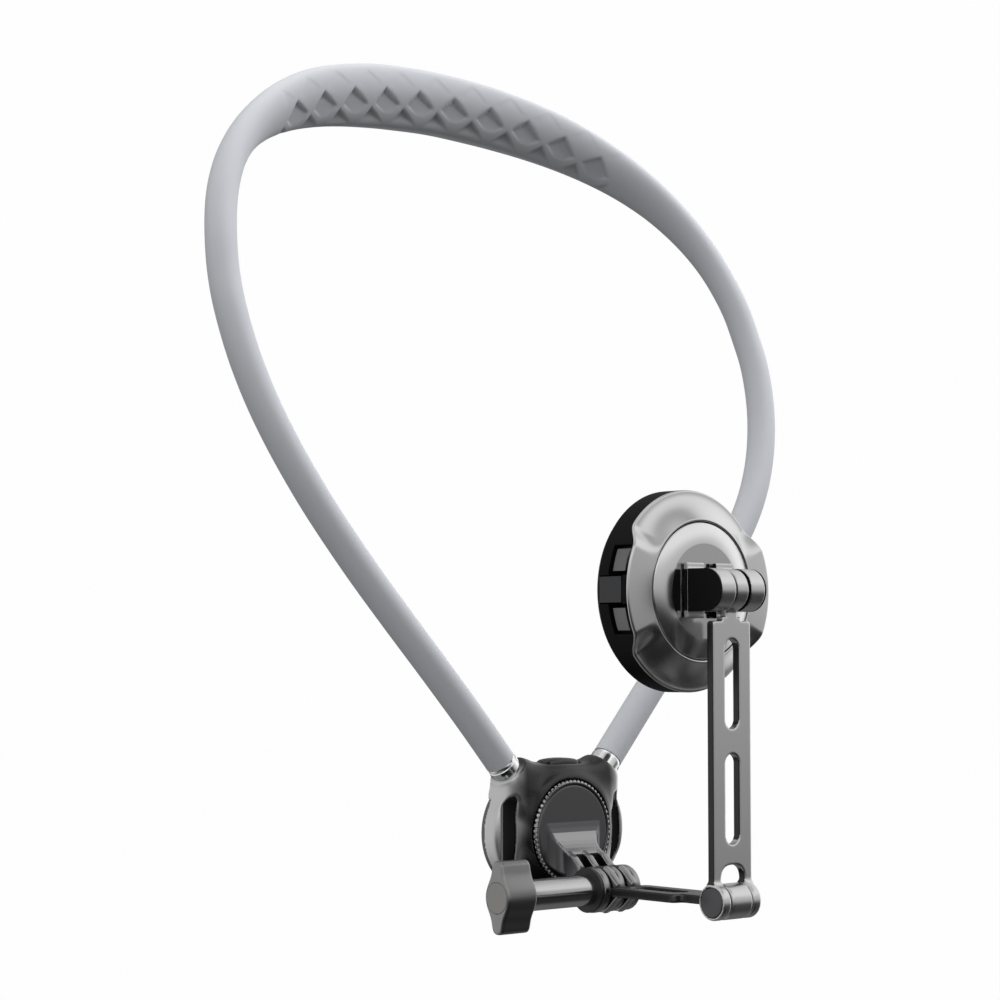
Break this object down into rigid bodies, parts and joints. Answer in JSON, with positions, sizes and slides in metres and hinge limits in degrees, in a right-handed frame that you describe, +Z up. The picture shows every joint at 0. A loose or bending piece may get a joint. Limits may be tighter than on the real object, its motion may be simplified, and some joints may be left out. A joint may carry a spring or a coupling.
{
  "type": "neck phone holder",
  "caption": "Hands-free phone holder: soft band round the neck, chest hub with serrated turntable, link and slotted arm on hinges, and a turning magnetic head.",
  "frame": {"origin": "middle of the nape pad's inner face, where the band rests on the neck", "axes": "+X to the side, +Y towards the back of the wearer's neck, +Z up; the chest hub, the arm and the turntable face -Y"},
  "size_m": [0.2542, 0.1604, 0.3026],
  "materials": {
    "silicone_grey": "matte",
    "core_steel": "bare",
    "bright_chrome": "polished",
    "gunmetal_gloss": "gloss",
    "dark_satin": "satin",
    "satin_alloy": "satin",
    "head_alloy": "satin",
    "black_plastic": "matte",
    "gloss_black": "gloss",
    "black_rubber": "matte",
    "fastener_steel": "bare",
    "brass": "bare",
    "warm_grey": "satin",
    "magnet_nickel": "plated"
  },
  "bodies": {
    "frame": {"band_sleeve": "silicone_grey", "band_core": "core_steel", "ferrule_right": "bright_chrome", "ferrule_left": "bright_chrome", "hub_front_shell": "gunmetal_gloss", "hub_back_cover": "dark_satin", "chest_pad": "black_rubber", "cover_screws": "fastener_steel", "core_clamps": "brass", "button_spring": "fastener_steel"},
    "button": {"release_button": "gloss_black"},
    "turntable_body": {"turntable": "dark_satin", "serrated_ring": "satin_alloy", "index_washer": "brass", "turntable_screw": "fastener_steel", "hex_nut": "fastener_steel"},
    "knob": {"knob_head": "satin_alloy", "knob_plug": "warm_grey", "knob_barrel": "satin_alloy", "knob_flange": "black_plastic", "clamp_screw": "fastener_steel"},
    "link": {"lower_link": "satin_alloy"},
    "arm": {"upper_arm": "satin_alloy", "lower_hinge_pin": "fastener_steel", "lower_pin_caps": "gloss_black"},
    "fork": {"upper_hinge_pin": "fastener_steel", "swivel_fork": "satin_alloy", "fork_side_plates": "gloss_black", "fork_boss": "dark_satin", "centre_plate": "head_alloy", "plate_disc": "satin_alloy", "retaining_plate": "brass", "swivel_screw": "fastener_steel"},
    "head": {"front_cover": "head_alloy", "rear_shell": "black_plastic", "shunt_ring": "fastener_steel", "magnet_ring": "magnet_nickel", "face_pad": "black_rubber", "shell_screws": "fastener_steel", "tab_springs": "fastener_steel", "window_blocks": "satin_alloy"},
    "tab_left_body": {"tab_left": "dark_satin"},
    "tab_right_body": {"tab_right": "dark_satin"}
  },
  "joints": [
    {"name": "turntable_spin", "type": "hinge", "parent": "frame", "child": "turntable_body", "pos_m": [0, -0.0711, -0.2613], "axis": [0, 1, 0], "continuous": true},
    {"name": "prong_tilt", "type": "hinge", "parent": "turntable_body", "child": "link", "pos_m": [0, -0.0886, -0.2792], "axis": [1, 0, 0], "range_deg": [-10, 80]},
    {"name": "knob_turn", "type": "hinge", "parent": "turntable_body", "child": "knob", "pos_m": [-0.02, -0.0886, -0.2792], "axis": [1, 0, 0], "continuous": true},
    {"name": "lower_fold", "type": "hinge", "parent": "link", "child": "arm", "pos_m": [0, -0.144, -0.2792], "axis": [1, 0, 0], "range_deg": [-25, 85]},
    {"name": "upper_fold", "type": "hinge", "parent": "arm", "child": "fork", "pos_m": [0, -0.144, -0.1814], "axis": [1, 0, 0], "range_deg": [-14, 80]},
    {"name": "head_spin", "type": "hinge", "parent": "fork", "child": "head", "pos_m": [0, -0.1267, -0.1814], "axis": [0, 1, 0], "continuous": true},
    {"name": "button_press", "type": "slide", "parent": "frame", "child": "button", "axis": [0, 0, -1], "range_m": [0, 0.0016], "stiffness_N_per_m": 300, "deforming": ["button_spring"]},
    {"name": "left_tab_press", "type": "slide", "parent": "head", "child": "tab_left_body", "axis": [1, 0, 0], "range_m": [0, 0.0012], "stiffness_N_per_m": 300},
    {"name": "right_tab_press", "type": "slide", "parent": "head", "child": "tab_right_body", "axis": [-1, 0, 0], "range_m": [0, 0.0012], "stiffness_N_per_m": 300}
  ]
}
